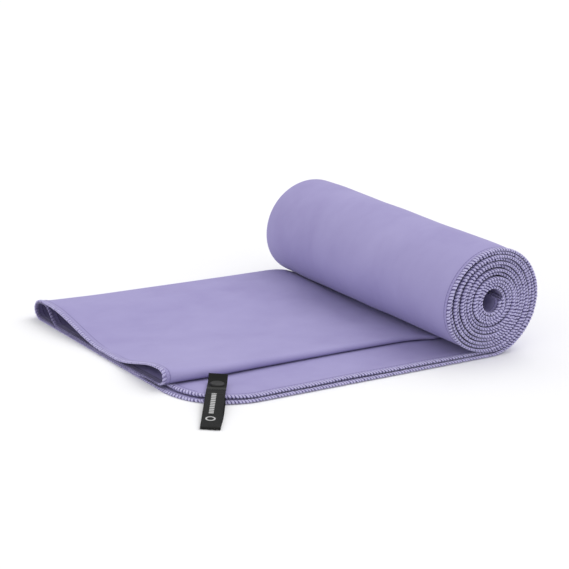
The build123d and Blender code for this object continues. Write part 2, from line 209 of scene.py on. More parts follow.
def sheet_rows():
    """Origins (x, z), normals (x, z), length coordinate (x on the flat part)
    and turning angle of the rows."""
    stops = [WIND_START] + CUTS + [FREE_X]
    flat = []
    for a, b in zip(stops[:-1], stops[1:]):
        step = 1.9 if b > -90 else 2.8
        count = max(4, int(round(abs(b - a) / step)))
        flat.append(np.linspace(a, b, count + 1)[1:])
    flat_x = np.concatenate(flat)
    wound = []
    place = WIND_LENGTH[-1]
    while place > 0:            # row spacing follows the radius of the turn
        wound.append(place)
        radius = wound_radius(np.interp(place, WIND_LENGTH, WIND_DEG))
        place -= float(np.clip(radius * 0.075, 1.3, 2.6))
    wound = np.array(wound + [0.0])

    def on_winding(values, offset=0.0):
        return np.interp(wound + offset, WIND_LENGTH, values)

    reach = 0.6                 # half the length a tangent is taken over
    tan_x = on_winding(WIND_X, reach) - on_winding(WIND_X, -reach)
    tan_z = on_winding(WIND_Z, reach) - on_winding(WIND_Z, -reach)
    size = np.hypot(tan_x, tan_z)
    zeros = np.zeros(len(flat_x))
    origin = np.vstack([np.stack([on_winding(WIND_X), on_winding(WIND_Z)], 1),
                        np.stack([flat_x, zeros], 1)])
    normal = np.vstack([np.stack([-tan_z / size, tan_x / size], 1),
                        np.tile([0.0, 1.0], (len(flat_x), 1))])
    return (origin, normal, np.r_[wound + WIND_START, flat_x],
            np.r_[on_winding(WIND_DEG), zeros])


ROW_ORIGIN, ROW_NORMAL, ROW_S, ROW_DEG = sheet_rows()
ROWS = len(ROW_S)
LAST = ROWS - 1
ALONG = ROW_S[:, None]


def row_of(x):
    return int(np.argmin(np.abs(ROW_S - x)))


# -------------------------------------------------- folded section of a row
def profile(*table):
    """Values for every row from (x, value) stations along the flat part."""
    return smooth_interp(np.clip(ROW_S, FREE_X, 60.0), table)


# top of the folded cloth at the back fold and at the front fold
H_BACK = profile((-307, 18.9), (-296, 17.5), (-270, 16.7), (-242, 16.0), (-187, 15.6),
                 (-131, 15.2), (-73, 15.0), (-55, 15.0), (-43, 14.2), (-31, 12.0),
                 (-24, 9.6), (-16, 6.9), (-8, 5.2), (2, 4.7), (20, 4.5))
H_FRONT = profile((-307, 18.3), (-292, 15.6), (-270, 13.2), (-240, 11.4), (-200, 10.3),
                  (-150, 9.0), (-100, 8.3), (-60, 8.0), (-35, 7.6), (-22, 6.6),
                  (-10, 5.2), (2, 4.6), (20, 4.4))
# y of the front fold
Y_FOLD = profile((-307, -83.6), (-290, -82.2), (-260, -79.8), (-200, -77.6), (-100, -76.2),
                 (-52, -76.8), (-30, -80.0), (-16, -83.6), (0, -80), (20, -74))
# height of the top ply in the hollow between the folds
Z_MID = profile((-307, 4.5), (-285, 5.3), (-245, 6.8), (-100, 7.4), (-50, 7.2),
                (-30, 6.2), (-15, 4.6), (2, 4.0))
# share of the lift near the free end
END_LIFT = profile((-307, 1.0), (-285, 0.7), (-255, 0.0))
# half width of the back fold in y
BACK_RY = profile((-307, 12.5), (-60, 11.5), (-20, 6.0), (5, 3.2))

# the flat part stays under the roll
under_roll = (ROW_S > -52) & (ROW_S < 40)
room = (roll_bottom(np.clip(ROW_S, -52, 5)) - 0.35)[under_roll]
for height in (H_BACK, H_FRONT):
    height[under_roll] = np.minimum(height[under_roll], np.maximum(room, 4.45))
Z_MID[under_roll] = np.minimum(Z_MID[under_roll], np.maximum(room - 0.5, 4.0) - 0.4)

# columns of each part of the section, in order along the sheet
N_BOTTOM, N_BACK_OUTER, N_TOP, N_FRONT, N_THIRD, N_BACK_INNER, N_SECOND = 48, 15, 74, 13, 60, 13, 52
FRONT_FOLD_COL = N_BOTTOM + N_BACK_OUTER + N_TOP
THIRD_COL = FRONT_FOLD_COL + N_FRONT
SECOND_COL = THIRD_COL + N_THIRD + N_BACK_INNER
COLS = SECOND_COL + N_SECOND
wave_top = Waves(11, [120.0, 62.0, 34.0])
wave_roll = Waves(13, [150.0, 80.0, 45.0])


def turn_pitch():
    """Room between one turn and the next, for each row."""
    radius = wound_radius(ROW_DEG)
    inner = np.where(ROW_DEG + 360 < WOUND, wound_radius(np.minimum(ROW_DEG + 360, WOUND)),
                     radius - 6.4)
    return np.where(ROW_S > 30, radius - inner, 6.0)


TURN_PITCH = turn_pitch()
IN_ROLL = ease_from(ROW_S, -14, 40)
HEM_1 = 1.42 - 0.52 * IN_ROLL                           # middle height of the lower hem
HEM_2 = HEM_1 + 2.8 + (TURN_PITCH / 2 - 2.8) * IN_ROLL  # the same for the upper hem
HEM_FAT = np.clip((np.where(ROW_S > 30, TURN_PITCH / 2, 2.9) - 0.12) / 2.95, 0.6, 1.0)
PLY_STEP = 1.18 - 0.06 * IN_ROLL                        # from one ply's middle to the next


def arc(start, stop, count):
    """Angles of a fold between its two ends, which belong to the plies."""
    return np.linspace(start, stop, count + 2)[None, 1:-1] * math.pi / 180


def sections():
    """For every row and column: y, and height above the row's origin.
    Also the y of the lower and the upper hem edge."""
    roll, step, end_lift = IN_ROLL[:, None], PLY_STEP[:, None], END_LIFT[:, None]
    near_strap = np.exp(-((ALONG + 273.0) / 19.0) ** 2)
    y_fold = Y_FOLD[:, None]
    bottom = HALF_THICK
    # the hem lines of the roll are not perfectly level from turn to turn
    edge_1 = FRONT_EDGE_Y + roll * (0.8 * np.sin(ALONG / 47.0 + 0.6) + 0.5 * np.sin(ALONG / 19.0))
    edge_2 = FRONT_EDGE_Y + 3.4 - 2.2 * roll + roll * (
        0.9 * np.sin(ALONG / 39.0 + 2.1) + 0.6 * np.sin(ALONG / 16.0 + 1.0))
    edge_2 = edge_2 + (1 - roll) * (0.7 * np.sin(ALONG / 33.0) + 0.4 * np.sin(ALONG / 13.0 + 0.4))

    def second(y):
        """Height of the second ply, lifted near the free end and at the strap."""
        base = bottom + step
        z = base + (HEM_2[:, None] - base) * ease_from(y, -112, -(24 - 2 * roll))
        z = z + 1.7 * end_lift * ease_from(y, -8, -66) * ease_from(y, -134, 24)
        return z + 1.05 * near_strap * ease_from(y, -78, -16) * ease_from(y, -136, 20)

    # bottom ply
    u = np.linspace(0, 1, N_BOTTOM)[None, :]
    back_ry = BACK_RY[:, None]
    back_rz = (H_BACK[:, None] - HALF_THICK - bottom) / 2
    back_y = BACK_FOLD_Y - HALF_THICK - back_ry
    y_bottom = edge_1 + (back_y - edge_1) * (0.55 * u + 0.45 * u ** 2)
    n_bottom = bottom + (HEM_1[:, None] - bottom) * ease_from(y_bottom, -122, -15)
    # outer back fold
    a = arc(-90, 90, N_BACK_OUTER)
    y_outer = back_y + back_ry * np.cos(a)
    n_outer = bottom + back_rz + back_rz * np.sin(a)
    # top ply
    u = np.linspace(0, 1, N_TOP)[None, :]
    top_back, top_front = H_BACK[:, None] - HALF_THICK, H_FRONT[:, None] - HALF_THICK
    fold_z = np.minimum(second(y_fold + 4.0) + step, top_front - 1.1)
    front_rz = (top_front - fold_z) / 2
    front_ry = np.maximum(front_rz * 1.12, 1.5)
    front_y = y_fold + HALF_THICK + front_ry
    y_top = back_y + (front_y - back_y) * u
    flat_back = 118 + 12 * ease_from(ALONG, -40, 40)
    hump_back = ease_from(y_top, 22, flat_back - 22)
    hump_front = ease_from(y_top, -2, (front_y + 4) + 2)
    mid = np.maximum(Z_MID[:, None], bottom + 3 * step)
    n_top = mid + (top_back - mid) * hump_back + (top_front - mid) * hump_front
    off_roll = 1 - ease_from(ALONG, -50, 25)
    off_edges = (ease_from(y_top, 128, -40) * ease_from(y_top, front_y, 25)
                 * (0.35 + 0.65 * ease_from(ALONG, FREE_X, 30)))
    n_top = n_top + off_roll * off_edges * 0.42 * wave_top(ALONG, y_top)
    # front fold
    a = arc(90, 270, N_FRONT)
    y_front = front_y + front_ry * np.cos(a)
    n_front = fold_z + front_rz + front_rz * np.sin(a)
    # third ply, rising under the top ply to the inner back fold
    u = np.linspace(0, 1, N_THIRD)[None, :]
    y_third = front_y + (back_y - front_y) * (1.25 * u - 0.25 * u ** 2)
    on_second = second(y_third) + step
    leaving = ease_from(y_third, front_y, y_fold + 12 - front_y)
    low = np.where(y_third < y_fold + 12, fold_z + (on_second - fold_z) * leaving, on_second)
    climb = ease_from(y_third, 100, np.minimum(25.0, back_y - 101)) ** 1.6
    n_third = low + (top_back - step - low) * climb
    # inner back fold
    a = arc(90, -90, N_BACK_INNER)
    y_inner = back_y + (back_ry - step) * np.cos(a)
    n_inner = bottom + back_rz + (back_rz - step) * np.sin(a)
    # second ply, back to the front
    u = np.linspace(0, 1, N_SECOND)[None, :]
    y_second = back_y + (edge_2 - back_y) * (1.45 * u - 0.45 * u ** 2)
    y = np.concatenate([y_bottom, y_outer, y_top, y_front, y_third, y_inner, y_second], 1)
    n = np.concatenate([n_bottom, n_outer, n_top, n_front, n_third, n_inner, second(y_second)], 1)
    return y, n, edge_1, edge_2


SECTION_Y, SECTION_N, EDGE_1, EDGE_2 = sections()
COLUMN = np.arange(COLS)[None, :]

# the turns are soft, so they breathe a little along the roll
SECTION_N = SECTION_N + (ease_from(ALONG, 20, 40) * 0.30 * wave_roll(ALONG, SECTION_Y)
                         * ease_from(SECTION_Y, -139, 40))

CORNER_Y = -83.0                # where the rounded free corner starts, across the cloth


def middle_surface():
    """Points of the sheet's middle surface, with the rounded free corner."""
    x = ROW_ORIGIN[:, :1] + ROW_NORMAL[:, :1] * SECTION_N
    z = ROW_ORIGIN[:, 1:] + ROW_NORMAL[:, 1:] * SECTION_N
    y = SECTION_Y.copy()
    # columns of the ply, x where the corner starts, hem edge, set-back of the free end
    for is_ply, corner_x, edge, set_back in ((COLUMN < N_BOTTOM, -248.0, EDGE_1, 0.0),
                                             (COLUMN >= SECOND_COL, -241.0, EDGE_2, 7.5)):
        u = np.clip((corner_x - ALONG) / (corner_x - FREE_X), 0, 1)
        v = np.clip((CORNER_Y - SECTION_Y) / (CORNER_Y - edge), 0, 1)
        reach = (corner_x - FREE_X) - set_back * ease_from(SECTION_Y, -38, -42)
        x = np.where(is_ply & (u > 0), corner_x - reach * u * np.sqrt(1 - v ** 2 / 2), x)
        y = np.where(is_ply & (v > 0), CORNER_Y - (CORNER_Y - edge) * v * np.sqrt(1 - u ** 2 / 2), y)
    return np.stack([x, y, z], 2)


def surface_normals(points):
    """Unit normals of the sheet, on the side that faces into the fold."""
    normals = unit(np.cross(np.gradient(points, axis=0), np.gradient(points, axis=1)), guard=1e-12)
    across = np.gradient(SECTION_Y, axis=1)
    wanted = np.stack([ROW_NORMAL[:, :1] * across, -np.gradient(SECTION_N, axis=1),
                       ROW_NORMAL[:, 1:] * across], 2)
    side = np.sign((normals * wanted).sum(2, keepdims=True))
    return normals * np.where(side == 0, 1, side)


SHEET = middle_surface()
SHEET_N = surface_normals(SHEET)
ACROSS = np.concatenate([np.zeros((ROWS, 1)), np.cumsum(
    np.hypot(np.diff(SECTION_Y, axis=1), np.diff(SECTION_N, axis=1)), axis=1)], 1)
SHEET_UV = np.stack([np.broadcast_to(ALONG, (ROWS, COLS)), ACROSS - 140.0], 2)

# painted shade for each side of the sheet, inside the folds, where the front fold meets the
# ply below and under the fold's lower half: the side facing into the fold of the cloth, and the other
# one
fold_shade = ease_from(SECTION_Y, -34, 26)
FOLD_SHADE_INNER = np.where(COLUMN < N_BOTTOM, fold_shade, 0.12 + 0.88 * ease_from(SECTION_Y, 10, 80))
contact_shade = 0.70 * ease_from(SECTION_Y - Y_FOLD[:, None], -1.6, 3.2)
tuck_shade = ease_from(COLUMN, FRONT_FOLD_COL + 0.55 * N_FRONT, 0.40 * N_FRONT) * (ALONG < 10)
FOLD_SHADE_OUTER = np.where(COLUMN < THIRD_COL, tuck_shade,
                    np.where(COLUMN < SECOND_COL, 1.0, np.maximum(fold_shade, contact_shade)))


# ------------------------------------------------------------ mesh helpers
def mesh_object(name, verts, faces, materials, attributes, uv=None, face_materials=None,
                lowest=None):
    """Smooth mesh object.  A face whose last two points agree is a triangle;
    lowest is the least height in metres."""
    verts = np.asarray(verts, float) * MM
    if lowest is not None:
        verts[:, 2] = np.maximum(verts[:, 2], lowest)
    is_triangle = faces[:, 2] == faces[:, 3]
    keep = np.ones(faces.shape, bool)
    keep[is_triangle, 3] = False
    loops = faces[keep]
    starts = np.r_[0, np.cumsum(np.where(is_triangle, 3, 4))[:-1]]
    mesh = bpy.data.meshes.new(name)
    mesh.vertices.add(len(verts))
    mesh.vertices.foreach_set("co", verts.astype(np.float32).ravel())
    mesh.loops.add(len(loops))
    mesh.loops.foreach_set("vertex_index", loops.astype(np.int32))
    mesh.polygons.add(len(faces))
    mesh.polygons.foreach_set("loop_start", starts.astype(np.int32))
    mesh.polygons.foreach_set("use_smooth", np.full(len(faces), True))
    if face_materials is not None:
        mesh.polygons.foreach_set("material_index", face_materials.astype(np.int32))
    for material in materials:
        mesh.materials.append(material)
    if uv is not None:
        layer = mesh.uv_layers.new(name="cloth")
        layer.data.foreach_set("uv", (uv[loops] * MM).astype(np.float32).ravel())
    for key, values in attributes.items():
        attribute = mesh.attributes.new(key, "FLOAT", "POINT")
        attribute.data.foreach_set("value", np.asarray(values, np.float32))
    mesh.update(calc_edges=True)
    mesh.validate(clean_customdata=False)
    ob = bpy.data.objects.new(name, mesh)
    bpy.context.scene.collection.objects.link(ob)
    return ob


def grid_quads(rows, cols, base):
    i, j = np.meshgrid(np.arange(rows - 1), np.arange(cols - 1), indexing="ij")
    a = base + i * cols + j
    return np.stack([a, a + cols, a + cols + 1, a + 1], -1).reshape(-1, 4)


def closed_sheet(name, low, up, uv, key, low_values, up_values, material, flipped=False):
    """Object between two grids of points, with one attribute, zero on the rim."""
    rows, cols = low.shape[:2]
    count = 2 * rows * cols
    verts = [low.reshape(-1, 3), up.reshape(-1, 3)]
    uvs = [uv.reshape(-1, 2)] * 2
    quads = [grid_quads(rows, cols, 0), grid_quads(rows, cols, rows * cols)[:, ::-1]]
    # long edges and cut ends get their own points, so that shading stays crisp
    for line, reverse in ((np.s_[:, 0], True), (np.s_[:, -1], False),
                          (np.s_[0], False), (np.s_[-1], True)):
        verts += [low[line], up[line]]
        uvs += [uv[line]] * 2
        size = len(low[line])
        k = count + np.arange(size - 1)
        rim = np.stack([k, k + 1, k + size + 1, k + size], -1)
        quads.append(rim[:, ::-1] if reverse else rim)
        count += 2 * size
    quads = np.vstack(quads)
    values = np.zeros(count)
    values[:2 * rows * cols] = np.r_[low_values.ravel(), up_values.ravel()]
    return mesh_object(name, np.vstack(verts), quads[:, ::-1] if flipped else quads, [material],
                       {key: values}, uv=np.vstack(uvs))


def tube_walls(rows, sides):
    i, j = np.meshgrid(np.arange(rows - 1), np.arange(sides), indexing="ij")
    a, b = i * sides + j, i * sides + (j + 1) % sides
    return np.stack([a, b, b + sides, a + sides], -1).reshape(-1, 4)


def fan(first, sides, centre):
    """Triangles from a ring to its centre, the centre written twice."""
    k = np.arange(sides)
    middle = np.full(sides, centre)
    return np.stack([first + k, first + (k + 1) % sides, middle, middle], -1)


def capped_tube(rows, sides, reverse=False):
    """Faces of a tube whose two end centres follow its rings."""
    centre = rows * sides
    walls = tube_walls(rows, sides)
    start, end = fan(0, sides, centre), fan(centre - sides, sides, centre + 1)
    if reverse:
        walls, end = walls[:, [0, 3, 2, 1]], end[:, [1, 0, 2, 3]]
    else:
        start = start[:, [1, 0, 2, 3]]
    return np.vstack([walls, start, end])


def ring_angles(sides):
    return np.arange(sides) * 2 * math.pi / sides


def parts_object(name, parts, materials):
    """One object from parts (verts, faces, material index, attributes)."""
    offsets = np.cumsum([0] + [len(part[0]) for part in parts])
    return mesh_object(
        name,
        np.vstack([part[0] for part in parts]),
        np.vstack([part[1] + offset for part, offset in zip(parts, offsets)]),
        materials,
        {key: np.concatenate([part[3][key] for part in parts]) for key in parts[0][3]},
        face_materials=np.concatenate([np.full(len(part[1]), part[2]) for part in parts]),
        lowest=0.00002)         # hems flatten against the table


# --------------------------------------------------------------- materials
def srgb(r, g, b):
    """Linear colour from 0-255 display values."""
    out = []
    for c in (r, g, b):
        c /= 255.0
        out.append(c / 12.92 if c <= 0.04045 else ((c + 0.055) / 1.055) ** 2.4)
    return (*out, 1.0)


class Mat:
    """Small helper around a material's node tree."""

    def __init__(self, name):
        self.material = bpy.data.materials.new(name)
        self.material.use_nodes = True
        self.tree = self.material.node_tree
        self.tree.nodes.clear()
        output = self.node("ShaderNodeOutputMaterial")
        self.shader = self.node("ShaderNodeBsdfPrincipled")
        self.link(self.shader.outputs[0], output.inputs["Surface"])

    def node(self, kind, **props):
        node = self.tree.nodes.new(kind)
        for key, value in props.items():
            setattr(node, key, value)
        return node

    def link(self, source, target):
        self.tree.links.new(source, target)

    def set(self, **values):
        """Set shader inputs; underscores in names stand for spaces."""
        for key, value in values.items():
            self.shader.inputs[key.replace("_", " ")].default_value = value

    def drive(self, name, source):
        self.link(source, self.shader.inputs[name])

    def feed(self, target, value):
        if isinstance(value, (int, float, tuple)):
            target.default_value = value
        else:
            self.link(value, target)

    def uv(self):
        return self.node("ShaderNodeUVMap", uv_map="cloth").outputs[0]

    def object_coords(self):
        return self.node("ShaderNodeTexCoord").outputs["Object"]

    def attribute(self, name):
        return self.node("ShaderNodeAttribute", attribute_name=name).outputs["Fac"]

    def math(self, op, a, b=None, clamp=False):
        node = self.node("ShaderNodeMath", operation=op, use_clamp=clamp)
        self.feed(node.inputs[0], a)
        if b is not None:
            self.feed(node.inputs[1], b)
        return node.outputs[0]

    def weighted_sum(self, first, *others):
        """Sum of (socket, weight) pairs."""
        total = self.math("MULTIPLY", *first)
        for pair in others:
            total = self.math("ADD", total, self.math("MULTIPLY", *pair))
        return total

    def abs_sine(self, value):
        return self.math("ABSOLUTE", self.math("SINE", value))

    def stripes(self, value, period):
        return self.abs_sine(self.math("MULTIPLY", value, math.pi / period))

    def mix(self, factor, a, b, blend="MIX"):
        node = self.node("ShaderNodeMix", data_type="RGBA", blend_type=blend)
        for index, value in ((0, factor), (6, a), (7, b)):
            self.feed(node.inputs[index], value)
        return node.outputs[2]

    def paint_shade(self, attribute, colour, tint):
        """Painted shade: multiply colour by tint where the attribute is 1."""
        factor = self.attribute(attribute)
        return self.mix(factor, colour, self.mix(1.0, colour, tint, "MULTIPLY"))

    def noise(self, vector, scale, detail=2.0, rough=0.5, distortion=0.0):
        node = self.node("ShaderNodeTexNoise")
        self.link(vector, node.inputs["Vector"])
        for key, value in (("Scale", scale), ("Detail", detail), ("Roughness", rough),
                           ("Distortion", distortion)):
            node.inputs[key].default_value = value
        return node.outputs[0]

    def ramp(self, factor, stops):
        """Colour ramp from (position, colour) stops."""
        node = self.node("ShaderNodeValToRGB")
        elements = node.color_ramp.elements
        while len(elements) < len(stops):
            elements.new(0.5)
        for k, (position, colour) in enumerate(stops):
            elements[k].position = position
            elements[k].color = colour
        self.link(factor, node.inputs[0])
        return node.outputs[0]

    def scaled(self, vector, scale):
        node = self.node("ShaderNodeMapping")
        self.link(vector, node.inputs[0])
        node.inputs["Scale"].default_value = scale
        return node.outputs[0]

    def bump(self, height, strength, distance, normal=None):
        node = self.node("ShaderNodeBump")
        node.inputs["Strength"].default_value = strength
        node.inputs["Distance"].default_value = distance
        self.link(height, node.inputs["Height"])
        if normal is not None:
            self.link(normal, node.inputs["Normal"])
        return node.outputs[0]


LILAC = srgb(159, 152, 194)
LILAC_DEEP = srgb(150, 142, 186)
LILAC_PALE = srgb(166, 159, 200)
FOLD_SHADE_TINT = (0.46, 0.44, 0.52, 1)       # painted shade: multiplies the cloth inside the folds
HEM_SHADE_TINT = (0.42, 0.40, 0.48, 1)        # painted shade: multiplies the hem inside the folds


def cloth_material():
    m = Mat("suede_microfibre")
    uv = m.uv()
    # brushed nap: broad soft patches, slightly drawn out along the cloth
    broad = m.noise(m.scaled(uv, (9.0, 13.0, 1.0)), scale=1.0, detail=3.0, rough=0.55,
                    distortion=0.6)
    soft = m.noise(m.scaled(uv, (38.0, 60.0, 1.0)), scale=1.0, detail=3.0, rough=0.6,
                   distortion=0.3)
    fine = m.noise(m.scaled(uv, (900.0, 1500.0, 1.0)), scale=1.0, detail=4.0, rough=0.7)
    grain = m.noise(m.scaled(uv, (3200.0, 3200.0, 1.0)), scale=1.0, detail=2.0, rough=0.6)
    tone = m.weighted_sum((broad, 0.60), (soft, 0.28), (fine, 0.12))
    colour = m.ramp(tone, [(0.30, LILAC_DEEP), (0.50, LILAC), (0.72, LILAC_PALE)])
    fuzz = m.ramp(grain, [(0.30, (0.90, 0.90, 0.92, 1)), (0.70, (1.0, 1.0, 1.0, 1))])
    fuzz_share = 0.55
    colour = m.mix(fuzz_share, colour, fuzz, "MULTIPLY")
    # painted shade: the cloth inside the folds and by the front fold is darkened by a stored
    # attribute
    m.drive("Base Color", m.paint_shade("painted_fold_shade", colour, FOLD_SHADE_TINT))
    m.set(Roughness=0.93, Specular_IOR_Level=0.12, Sheen_Weight=0.18, Sheen_Roughness=0.42,
          Sheen_Tint=srgb(212, 207, 232))
    height = m.weighted_sum((fine, 0.6), (grain, 0.4))
    normal = m.bump(height, strength=0.35, distance=0.00016)
    m.drive("Normal", m.bump(soft, strength=0.25, distance=0.0009, normal=normal))
    return m.material


def hem_material():
    """Overlock band: slanted looper threads between the needle line and the edge,
    worked out from the stitch coordinates stored on the mesh."""
    slant = 0.16                # stitches a looper thread moves for each mm outwards
    needle_out, needle_half = 6.75, 0.55        # line of the needle thread, darkened further as painted shade of the groove beside it: inward distance, half width
    core_out, core_rise = 3.6, 2.2      # dark outer band, partly a darker purple under the bars and partly painted shade in their gaps: where it starts, how sharply
    m = Mat("overlock_band")
    outward = m.attribute("hem_o")
    stitch = m.attribute("hem_s")
    # looper threads: zigzag lines, two for each stitch
    zig = m.math("ADD", stitch, m.math("MULTIPLY", outward, slant))
    zag = m.math("SUBTRACT", stitch, m.math("MULTIPLY", outward, slant))
    threads = m.math("MINIMUM", m.stripes(zig, period=1.0), m.stripes(zag, period=1.0))
    needle = m.math("ABSOLUTE", m.math("ADD", outward, needle_out))
    needle = m.math("SUBTRACT", 1.0, m.math("DIVIDE", needle, needle_half), clamp=True)
    core = m.math("MULTIPLY", m.math("ADD", outward, core_out), core_rise, clamp=True)
    colour = m.ramp(threads, [(0.0, srgb(118, 108, 160)), (0.30, srgb(160, 153, 196)),
                              (1.0, srgb(150, 142, 188))])
    # partly painted shade: the needle line's dark also stands for the groove's shadow, the outer
    # band's for the shadow between the thread bars
    for mask, share, dark in ((needle, 0.75, srgb(84, 74, 128)), (core, 0.86, srgb(74, 64, 114))):
        colour = m.mix(m.math("MULTIPLY", mask, share), colour, dark)
    # painted shade on the band inside the folds
    m.drive("Base Color", m.paint_shade("hem_shade", colour, HEM_SHADE_TINT))
    m.set(Roughness=0.85, Specular_IOR_Level=0.2, Sheen_Weight=0.2)
    fibre = m.noise(m.object_coords(), scale=2600.0, detail=2.0, rough=0.6)
    height = m.weighted_sum((threads, -0.7), (fibre, 0.35))
    m.drive("Normal", m.bump(height, strength=0.6, distance=0.00035))
    return m.material


def thread_material(name, colour, dark):
    """Twisted thread, dark between its plies."""
    m = Mat(name)
    ply = m.abs_sine(m.attribute("twist"))
    shade = m.ramp(ply, [(0.0, dark), (0.45, colour), (1.0, colour)])
    # painted shade on hem threads inside the folds
    m.drive("Base Color", m.paint_shade("hem_shade", shade, HEM_SHADE_TINT))
    m.set(Roughness=0.62, Specular_IOR_Level=0.35, Sheen_Weight=0.25)
    m.drive("Normal", m.bump(ply, strength=0.5, distance=0.00018))
    return m.material


def ribbon_material():
    """Black woven ribbon with plain woven marks; its lengths are in metres."""
    warp_pitch, weft_pitch = 0.00042, 0.00036
    selvedge_y = 0.0057
    dash_start, dash_end, dash_pitch = 0.0212, 0.0524, 0.0026
    dash_cut = 0.50             # stripe level above which a dash shows
    ring_x, ring_drop = 0.0138, 0.0007  # ring centre: along, and below the middle line
    m = Mat("black_ribbon")
    split = m.node("ShaderNodeSeparateXYZ")
    m.link(m.uv(), split.inputs[0])
    along, across = split.outputs[0], split.outputs[1]
    warp = m.stripes(across, warp_pitch)
    weft = m.stripes(along, weft_pitch)
    weave = m.math("MULTIPLY", warp, weft)
    selvedge = m.math("GREATER_THAN", m.math("ABSOLUTE", across), selvedge_y)
    colour = m.ramp(weave, [(0.0, srgb(10, 10, 10)), (0.6, srgb(24, 25, 23)),
                            (1.0, srgb(34, 35, 32))])

    def tinted(base, mask, share, tint):
        return m.mix(m.math("MULTIPLY", mask, share), base, tint)

    def band(value, low, high, soft=0.00018):
        rise = m.math("DIVIDE", m.math("SUBTRACT", value, low), soft, clamp=True)
        fall = m.math("DIVIDE", m.math("SUBTRACT", high, value), soft, clamp=True)
        return m.math("MULTIPLY", rise, fall)

    colour = tinted(colour, selvedge, share=0.55, tint=srgb(16, 16, 16))
    # generic marks: a row of plain dashes along the ribbon and a small ring
    marks = m.math("MULTIPLY", band(along, low=dash_start, high=dash_end),
                   band(across, low=-0.0024, high=0.0008))
    dashes = m.stripes(m.math("SUBTRACT", along, dash_start), dash_pitch)
    marks = m.math("MULTIPLY", marks, m.math("GREATER_THAN", dashes, dash_cut))
    dx, dy = m.math("SUBTRACT", along, ring_x), m.math("ADD", across, ring_drop)
    radius = m.math("SQRT", m.math("ADD", m.math("MULTIPLY", dx, dx), m.math("MULTIPLY", dy, dy)))
    marks = m.math("MAXIMUM", marks, band(radius, low=0.0021, high=0.0033))
    marks = m.math("MULTIPLY", marks, m.attribute("face_up"))
    # the weave shows through the marks
    weave_share, plain_share = 0.35, 0.65
    worn = m.math("ADD", m.math("MULTIPLY", weave, weave_share), plain_share)
    marks = m.math("MULTIPLY", marks, worn)
    # painted highlight (a grey band) and painted crease shadow (a thin black line) across the ribbon,
    # by its bend
    colour = tinted(colour, band(along, low=0.0612, high=0.0660, soft=0.0016), share=0.30,
                    tint=srgb(96, 97, 94))
    colour = tinted(colour, band(along, low=0.0562, high=0.0584, soft=0.0008), share=0.9,
                    tint=srgb(4, 4, 4))
    m.drive("Base Color", m.mix(marks, colour, srgb(205, 205, 204)))
    m.set(Roughness=0.66, Specular_IOR_Level=0.17)
    mark_height = 0.8
    height = m.math("ADD", weave, m.math("MULTIPLY", marks, mark_height))
    m.drive("Normal", m.bump(height, strength=0.45, distance=0.00012))
    return m.material


def brighter(colour, factor):
    return tuple(min(1, c * factor) for c in colour[:3]) + (1,)


def snap_material(name, colour, rough, metal):
    """Lightly worn surface of the press stud."""
    rough_spread = 0.22         # roughness added where the wear is full
    m = Mat(name)
    wear = m.noise(m.object_coords(), scale=900.0, detail=3.0, rough=0.6)
    m.drive("Base Color", m.ramp(wear, [(0.35, colour), (0.75, brighter(colour, 1.35))]))
    m.drive("Roughness", m.math("ADD", m.math("MULTIPLY", wear, rough_spread), rough))
    m.set(Metallic=metal)
    m.drive("Normal", m.bump(wear, strength=0.08, distance=0.0001))
    return m.material


def floor_material():
    white = (0.880, 0.880, 0.883, 1)
    m = Mat("floor_white")
    tone = m.noise(m.object_coords(), scale=3.0, detail=2.0, rough=0.5)
    m.drive("Base Color", m.ramp(tone, [(0.3, white), (0.7, brighter(white, 1.01))]))
    m.set(Roughness=0.9, Specular_IOR_Level=0.1)
    return m.material


CLOTH = cloth_material()
HEM = hem_material()
HEM_THREAD = thread_material("overlock_thread", colour=srgb(190, 185, 222),
                             dark=srgb(140, 132, 180))
HEM_THREAD_END = thread_material("overlock_thread_end", colour=srgb(183, 177, 216),
                                 dark=srgb(140, 132, 180))
STRAP_THREAD = thread_material("strap_thread", colour=srgb(52, 52, 54), dark=srgb(20, 20, 21))
RIBBON = ribbon_material()
SNAP_BLACK = snap_material("snap_black", colour=srgb(9, 9, 10), rough=0.46, metal=0.0)
SNAP_METAL = snap_material("snap_metal", colour=srgb(178, 178, 182), rough=0.28, metal=1.0)

# ---------------------------------------------------------------- overlock
# upper half of the band's section: (outward, height)
BAND_UP = [(-7.3, 0.36), (-6.9, 0.80), (-6.4, 0.58), (-5.2, 0.56), (-4.0, 0.60), (-3.1, 0.80),
           (-2.2, 0.98), (-1.0, 0.98), (-0.1, 0.74), (0.36, 0.34)]
BAND = np.array(BAND_UP + [(0.46, 0.0)] + [(out, -up) for out, up in BAND_UP[::-1]])
BAND_END_OUT = -3.0             # outward coordinate stored at the centre of a band's end
QUIET_OUT = -3.38               # the free end's band takes its colour from here inwards
STITCH_PITCH = 3.1
# middle line of one stitch, wrapped over the edge: (along, outward, height)
STITCH = np.array([(1.55, -2.9, 0.62), (1.20, -2.1, 1.00), (0.72, -0.9, 1.08),
                   (0.28, 0.25, 0.74), (0.0, 0.60, 0.0), (-0.28, 0.25, -0.74),
                   (-0.72, -0.9, -1.08), (-1.20, -2.1, -1.00), (-1.55, -2.9, -0.62)])
STITCH_TAPER = np.array([0.55, 0.95, 1, 1, 1, 1, 1, 0.95, 0.55])
STITCH_HALF_W, STITCH_HALF_H = 1.02, 0.36
STITCH_SIDES = 8
THIN_ABOVE = 0.42
stitch_rng = np.random.default_rng(5)


def thin(height, fat):
    """Flatten the raised part of the hem section."""
    size = np.abs(height)
    return np.sign(height) * np.where(size > THIN_ABOVE, THIN_ABOVE + (size - THIN_ABOVE) * fat, size)


